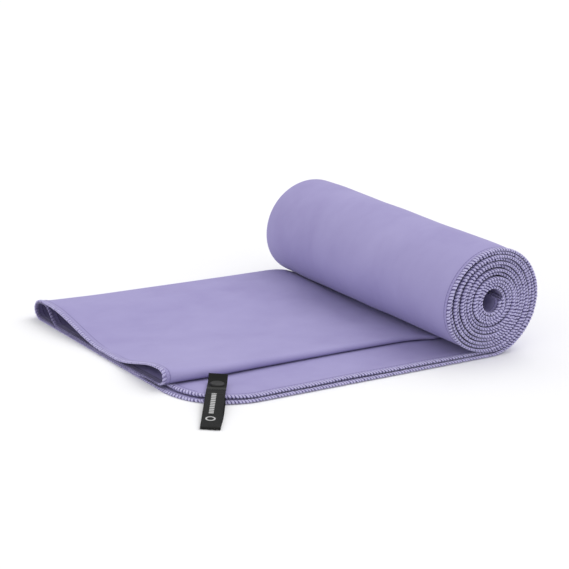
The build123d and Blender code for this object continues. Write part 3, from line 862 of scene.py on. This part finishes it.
def perimeter():
    """Edge of the sheet: front hem from the core of the roll to the free corner,
    the free end round all plies, and back along the second ply.
    Gives points, normals and the values fat, painted fold shade and quiet."""
    col = np.arange(1, COLS)
    end_y = SHEET[LAST, 1:, 1] * 0 + SECTION_Y[LAST, 1:]
    outer_plies = (col < N_BOTTOM) | (col >= SECOND_COL)
    end_fat = np.where(outer_plies, 0.30 + 0.70 * ease_from(end_y, -62, -45), 0.30)
    # painted shade on the free end's hem, inside the folds
    end_shade = (np.where(col < THIRD_COL, 0.0, 1.0)
                * np.where(col >= SECOND_COL, ease_from(end_y, -44, 24), 1.0))
    end_quiet = np.where(outer_plies, 1 - ease_from(end_y, -70, -40), 1.0)
    points, normals = (np.vstack([grid[:, 0], grid[LAST, 1:], grid[::-1, COLS - 1][1:]])
                       for grid in (SHEET, SHEET_N))
    zeros = np.zeros(ROWS)
    return (points, normals, np.r_[HEM_FAT, end_fat, HEM_FAT[::-1][1:]],
            np.r_[zeros, end_shade, zeros[1:]], np.r_[zeros, end_quiet, zeros[1:]])


def hem_line(points, normals, *values):
    """Even, smoothed line round the perimeter: points, tangents, outward
    directions, normals, distances and the values."""
    lengths = path_lengths(points)
    count = max(2, int(round(lengths[-1] / (STITCH_PITCH / 3))))
    distance = np.linspace(0, lengths[-1], count + 1)

    def resampled(rows):
        return np.stack([np.interp(distance, lengths, rows[:, k]) for k in range(3)], 1)

    even = resampled(points)
    normal = unit(resampled(normals))
    kernel = np.array([1, 2, 3, 2, 1]) / 9.0
    line = np.stack([np.convolve(np.pad(even[:, k], 2, mode="edge"), kernel, "valid")
                     for k in range(3)], 1)
    line[:2], line[-2:] = even[:2], even[-2:]
    tangent = unit(np.gradient(line, axis=0))
    outward = unit(np.cross(normal, tangent))
    return (line, tangent, outward, np.cross(tangent, outward), distance,
            *(np.interp(distance, lengths, value) for value in values))


# the hem line carries fatness, painted fold shade and the quiet share
(LINE, LINE_T, LINE_OUT, LINE_N, LINE_DIST,
 LINE_FAT, LINE_SHADE, LINE_QUIET) = hem_line(*perimeter())


def hem_band(start, stop):
    """Overlock band between two points of the hem line."""
    idx = np.arange(start, stop + 1)
    rows, sides = len(idx), len(BAND)
    height = thin(BAND[None, :, 1], LINE_FAT[idx][:, None])
    verts = (LINE[idx][:, None, :] + LINE_OUT[idx][:, None, :] * BAND[None, :, :1]
             + LINE_N[idx][:, None, :] * height[..., None]).reshape(-1, 3)
    out = np.tile(BAND[:, 0], rows)
    out = out + (np.minimum(out, QUIET_OUT) - out) * np.repeat(LINE_QUIET[idx], sides)
    stitch = LINE_DIST[idx] / STITCH_PITCH
    all_verts, faces = [verts], [tube_walls(rows, sides)]
    outs, stitches = [out], [np.repeat(stitch, sides)]
    base = rows * sides
    for row in (0, rows - 1):   # each end has its own ring and centre
        ring = verts[row * sides:(row + 1) * sides]
        all_verts += [ring, ring.mean(0)[None]]
        cap = fan(base, sides, base + sides)
        faces.append(cap if row == 0 else cap[:, ::-1])
        outs += [BAND[:, 0], [BAND_END_OUT]]
        stitches.append(np.full(sides + 1, stitch[row]))
        base += sides + 1
    # painted fold shade of the band; none on its end caps
    fold_shade = np.r_[np.repeat(LINE_SHADE[idx], sides), np.zeros(2 * (sides + 1))]
    return (np.vstack(all_verts), np.vstack(faces), 0,
            {"hem_o": np.concatenate(outs), "hem_s": np.concatenate(stitches),
             "twist": np.zeros(base), "hem_shade": fold_shade})


def hem_stitch(distance):
    """One flat overlock stitch wrapped over the edge, slightly irregular."""
    place = np.interp(distance, LINE_DIST, np.arange(len(LINE_DIST)))
    i = int(place)
    share = place - i
    centre = LINE[i] * (1 - share) + LINE[min(i + 1, len(LINE) - 1)] * share
    jitter = stitch_rng.normal(0, 1, 4)
    along = STITCH[:, 0] * (1 + 0.12 * jitter[1]) + 0.16 * jitter[2]
    out = STITCH[:, 1] + 0.10 * jitter[0]
    up = thin(STITCH[:, 2], LINE_FAT[i])
    d_out, d_up = np.gradient(out), np.gradient(up)
    pace = np.hypot(d_out, d_up) + 1e-9
    side_out, side_up = -d_up / pace, d_out / pace      # across the thread, in the section
    angle = ring_angles(STITCH_SIDES)[None, :]
    taper = STITCH_TAPER[:, None]
    grid_along = along[:, None] + (STITCH_HALF_W * (1 + 0.07 * jitter[3]) * taper
                                   * np.cos(angle))
    rise = STITCH_HALF_H * taper * np.sin(angle)
    grid_out = out[:, None] + rise * side_out[:, None]
    grid_up = up[:, None] + rise * side_up[:, None]
    verts = (centre + grid_along[..., None] * LINE_T[i] + grid_out[..., None] * LINE_OUT[i]
             + grid_up[..., None] * LINE_N[i]).reshape(-1, 3)
    ends = np.vstack([verts[:STITCH_SIDES].mean(0), verts[-STITCH_SIDES:].mean(0)])
    length = np.r_[0, np.cumsum(pace[1:])]
    twist = (length[:, None] * 1.2 + 1.9 * np.cos(angle)).reshape(-1)
    zeros = np.zeros(len(verts) + 2)
    # the stitch takes the painted fold shade of its place on the hem line
    return (np.vstack([verts, ends]), capped_tube(len(STITCH), STITCH_SIDES),
            2 if LINE_QUIET[i] > 0.5 else 1,
            {"hem_o": zeros, "hem_s": zeros, "twist": np.r_[twist, 0.0, 0.0],
             "hem_shade": zeros + LINE_SHADE[i]})


def hem_piece(name, runs):
    """Overlock band and its stitches for some runs of the hem line."""
    parts = [hem_band(start, stop) for start, stop in runs]
    for start, stop in runs:
        first = int(math.ceil(LINE_DIST[start] / STITCH_PITCH))
        final = int(math.floor(LINE_DIST[stop] / STITCH_PITCH))
        parts += [hem_stitch(k * STITCH_PITCH) for k in range(first, final + 1)]
    return parts_object(name, parts, [HEM, HEM_THREAD, HEM_THREAD_END])


# ------------------------------------------------------------ cloth pieces
# distance of each row along the hem line, on the bottom ply's and the second ply's edge
front_dist = path_lengths(SHEET[:, 0])
back_dist = LINE_DIST[-1] - path_lengths(SHEET[:, -1])


def line_index(distance):
    return int(np.argmin(np.abs(LINE_DIST - distance)))


def cloth_piece(tag, r0, r1):
    """Closed piece of the sheet between two rows."""
    rows = slice(r0, r1 + 1)
    points, offset = SHEET[rows], HALF_THICK * SHEET_N[rows]
    # each face of the piece carries its painted fold shade
    return closed_sheet(f"cloth_{tag}", points - offset, points + offset, SHEET_UV[rows],
                        "painted_fold_shade", FOLD_SHADE_OUTER[rows], FOLD_SHADE_INNER[rows], CLOTH)


cut_rows = [0] + [row_of(cut) for cut in CUTS] + [LAST]
final_piece = len(CUTS)
for k in range(final_piece + 1):
    r0, r1 = cut_rows[k], cut_rows[k + 1]
    tag = "roll" if k == 0 else f"{k:02d}"
    cloth = cloth_piece(tag, r0, r1)
    f0, f1 = line_index(front_dist[r0]), line_index(front_dist[r1])
    b0, b1 = line_index(back_dist[r1]), line_index(back_dist[r0])
    hem = hem_piece(f"hem_{tag}", [(f0, b1)] if k == final_piece else [(f0, f1), (b0, b1)])
    if k == 0:
        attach(cloth, "roll")
        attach(hem, "roll")
        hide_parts("fabric_roll")
        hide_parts("hem_thread_roll")
        continue
    for ob in (cloth, hem):
        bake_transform(ob)
    panel = PANELS[k - 1]
    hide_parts(panel.replace("panel", "fabric_panel"))
    extra = ["end_hem_thread"] if k == final_piece else []
    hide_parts(panel.replace("panel", "hem_thread"), *extra)

# -------------------------------------------------------------- hang strap
RIBBON_HALF_W = 8.15
RIBBON_HALF_THICK = 0.24
FOLD_REACH = 26.0               # the bending piece reaches this far either side of the fold
# middle line of the ribbon: (distance along STRAP_RUN, height)
LEG_LOWER = [(96.0, 1.95), (90.0, 1.95), (82.0, 1.97), (76.0, 2.05), (70.0, 2.35), (65.0, 2.72),
             (60.0, 2.85), (56.0, 2.78), (50.0, 2.2), (44.0, 1.35), (38.0, 0.62), (33.0, 0.30),
             (28.0, 0.26), (20.0, 0.26), (12.0, 0.26), (6.0, 0.26), (3.0, 0.26)]
LEG_FOLD = [(-0.9 * math.cos(math.radians(a)), 1.15 + 0.9 * math.sin(math.radians(a)))
            for a in (-75, -50, -25, 0, 25, 50, 75)]
LEG_UPPER = [(2.5, 2.06), (6, 2.20), (12, 2.60), (20, 3.20), (30, 4.05), (40, 4.95), (50, 5.75),
             (58, 6.35), (64, 6.75), (70, 6.95), (75, 6.95), (77.6, 6.55), (79.0, 5.60),
             (80.2, 6.05), (82, 6.14), (88, 6.14), (93, 6.18), (95.6, 6.55), (97.4, 7.4),
             (99.0, 8.8), (100.6, 10.3), (101.8, 11.6)]


def strap_ribbon():
    """Lower leg, fold and upper leg of the ribbon."""
    path = np.array(LEG_LOWER + LEG_FOLD + LEG_UPPER, float)
    lengths = np.r_[0, np.cumsum(np.hypot(*np.diff(path, axis=0).T))]
    t = np.linspace(0, lengths[-1], 190)
    line = np.stack([np.interp(t, lengths, path[:, k]) for k in range(2)], 1)
    for _ in range(2):
        line[1:-1] = (line[:-2] + 2 * line[1:-1] + line[2:]) / 4
    tangent = unit(np.gradient(line, axis=0))
    normal = np.stack([-tangent[:, 1], tangent[:, 0]], 1)
    across = np.linspace(-1, 1, 13)
    # distance from the middle of the fold, + on the upper leg
    from_fold = t - lengths[len(LEG_LOWER) + len(LEG_FOLD) // 2]
    shift = 0.9 * ease_from(from_fold, -2, -30) * ease_from(from_fold, -75, 20)
    crown = ((0.16 * np.sin(from_fold / 9.0))[:, None] * (1 - across[None, :] ** 2)
             * (from_fold[:, None] > 4))
    sides = []
    for sign in (-1, 1):
        face = line + normal * (sign * RIBBON_HALF_THICK)
        points = (STRAP_BASE + STRAP_RUN * face[:, :1])[:, None, :] + STRAP_AXIS * (
            across[None, :, None] * RIBBON_HALF_W + shift[:, None, None])
        rise = face[:, 1][:, None, None] + crown[..., None]
        sides.append(points + np.array([0, 0, 1.0]) * rise)
    low, up = sides
    shape = (len(t), len(across))
    uv = np.stack([np.broadcast_to(from_fold[:, None], shape),
                   np.broadcast_to(across[None, :] * RIBBON_HALF_W, shape)], 2)
    fold_start = int(np.argmin(np.abs(from_fold + FOLD_REACH)))
    fold_end = int(np.argmin(np.abs(from_fold - FOLD_REACH)))
    pieces = []
    for name, i0, i1 in (("hang_strap_lower", 0, fold_start),
                         ("hang_strap_fold", fold_start, fold_end),
                         ("hang_strap_upper", fold_end, len(t) - 1)):
        rows = slice(i0, i1 + 1)
        size = (i1 + 1 - i0, len(across))
        pieces.append(closed_sheet(name, low[rows], up[rows], uv[rows], "face_up",
                                   np.zeros(size), np.ones(size), RIBBON, flipped=True))
    return pieces


strap_lower, strap_fold, strap_upper = strap_ribbon()
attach(strap_lower, "panel_15")
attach(strap_upper, "strap_leg")
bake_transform(strap_fold)
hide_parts("hang_strap_base")
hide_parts("hang_strap_flap")

LOCK_COUNT = 7                  # stitches in a row across the ribbon
LOCK_WIDTH = 13.6               # length of the row
LOCK_RADIUS = 0.22
LOCK_RISE = 0.20
LOCK_SIDES = 6
LOCK_TWIST = 0.8                # thread length for one ply of twist


def lockstitch(path):
    """Round thread through a list of points, thinner at its ends."""
    tangent = unit(np.gradient(path, axis=0), guard=1e-12)
    side = unit(np.cross(tangent, np.array([0.31, 0.17, 0.93])), guard=1e-12)
    other = np.cross(tangent, side)
    angle = ring_angles(LOCK_SIDES)
    radius = np.full(len(path), LOCK_RADIUS)
    radius[[0, -1]] *= 0.55
    ring = (side[:, None, :] * np.cos(angle)[None, :, None]
            + other[:, None, :] * np.sin(angle)[None, :, None]) * radius[:, None, None]
    verts = (path[:, None, :] + ring).reshape(-1, 3)
    twist = (path_lengths(path)[:, None] * math.pi / LOCK_TWIST + angle[None, :]).reshape(-1)
    return (np.vstack([verts, path[:1], path[-1:]]),
            capped_tube(len(path), LOCK_SIDES, reverse=True), 0,
            {"twist": np.r_[twist, 0.0, 0.0]})


def stitch_row(name, distance, z):
    """A row of lockstitches across the ribbon's upper leg."""
    pitch = LOCK_WIDTH / LOCK_COUNT
    parts = []
    for k in range(LOCK_COUNT):
        y0 = -LOCK_WIDTH / 2 + (k + 0.12) * pitch
        y1 = -LOCK_WIDTH / 2 + (k + 0.88) * pitch
        parts.append(lockstitch(np.array([
            STRAP_BASE + STRAP_RUN * distance + STRAP_AXIS * (y0 + (y1 - y0) * f)
            + np.array([0, 0, z + LOCK_RISE * math.sin(math.pi * f)])
            for f in np.linspace(0, 1, 6)])))
    ob = parts_object(name, parts, [STRAP_THREAD])
    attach(ob, "strap_leg")


stitch_row("strap_stitches_upper_1", distance=64.5, z=7.02)
stitch_row("strap_stitches_upper_2", distance=73.0, z=7.22)

# ------------------------------------------------------- carried-over nodes
for node, material in (("snap_cap", SNAP_BLACK), ("snap_socket", SNAP_METAL),
                       ("snap_stud", SNAP_METAL), ("snap_post", SNAP_METAL),
                       ("strap_stitching", STRAP_THREAD)):
    ob = frame["nodes"][node]
    ob.data.materials.clear()
    ob.data.materials.append(material)


# ------------------------------------------------------------------- stage
def add_floor():
    bpy.ops.mesh.primitive_plane_add(size=60.0, location=(0, 0, -0.0002))
    floor = bpy.context.object
    floor.name = "floor"
    floor.data.materials.append(floor_material())


def add_world():
    """Soft studio light, with a plain white backdrop for the camera."""
    world = bpy.data.worlds.new("studio")
    bpy.context.scene.world = world
    world.use_nodes = True
    tree = world.node_tree
    light = tree.nodes["Background"]
    backdrop = tree.nodes.new("ShaderNodeBackground")
    for node, colour, strength in ((light, (0.985, 0.985, 1.0, 1), 0.85),
                                   (backdrop, (1, 1, 1, 1), 1.05)):
        node.inputs["Color"].default_value = colour
        node.inputs["Strength"].default_value = strength
    path = tree.nodes.new("ShaderNodeLightPath")
    mix = tree.nodes.new("ShaderNodeMixShader")
    tree.links.new(path.outputs["Is Camera Ray"], mix.inputs[0])
    tree.links.new(light.outputs[0], mix.inputs[1])
    tree.links.new(backdrop.outputs[0], mix.inputs[2])
    tree.links.new(mix.outputs[0], tree.nodes["World Output"].inputs[0])


def add_sun(name, towards, strength, angle):
    data = bpy.data.lights.new(name, "SUN")
    data.energy = strength
    data.angle = math.radians(angle)
    data.color = (1, 1, 1)
    ob = bpy.data.objects.new(name, data)
    bpy.context.scene.collection.objects.link(ob)
    ob.rotation_euler = Vector(towards).to_track_quat("-Z", "Y").to_euler()


def add_camera(place, towards, roll, lens):
    """Camera with a long lens; place is in design millimetres, roll in degrees."""
    data = bpy.data.cameras.new("camera")
    data.sensor_width = 36.0
    data.lens = lens
    data.clip_start = 0.05
    data.clip_end = 50.0
    camera = bpy.data.objects.new("camera", data)
    bpy.context.scene.collection.objects.link(camera)
    forward = Vector(towards).normalized()
    right = forward.cross(Vector((0, 0, 1))).normalized()
    up = right.cross(forward)
    cos, sin = math.cos(math.radians(roll)), math.sin(math.radians(roll))
    turn = Matrix((right * cos + up * sin, -right * sin + up * cos, -forward)).transposed()
    camera.matrix_world = Matrix.Translation(Vector(place) * MM) @ turn.to_4x4()
    bpy.context.scene.camera = camera


add_floor()
add_world()
add_sun("overhead", towards=(-0.60, -0.04, -1.0), strength=1.05, angle=55)
add_sun("left", towards=(0.86, 0.34, -0.04), strength=0.80, angle=80)

view = bpy.context.scene.view_settings
view.view_transform = "Standard"
view.look = "None"
view.exposure = 0.0
view.gamma = 1.0

add_camera(place=(-1102.2, -1371.9, 548.5), towards=(0.5544, 0.7817, -0.2857), roll=2.69,
           lens=122.286116)
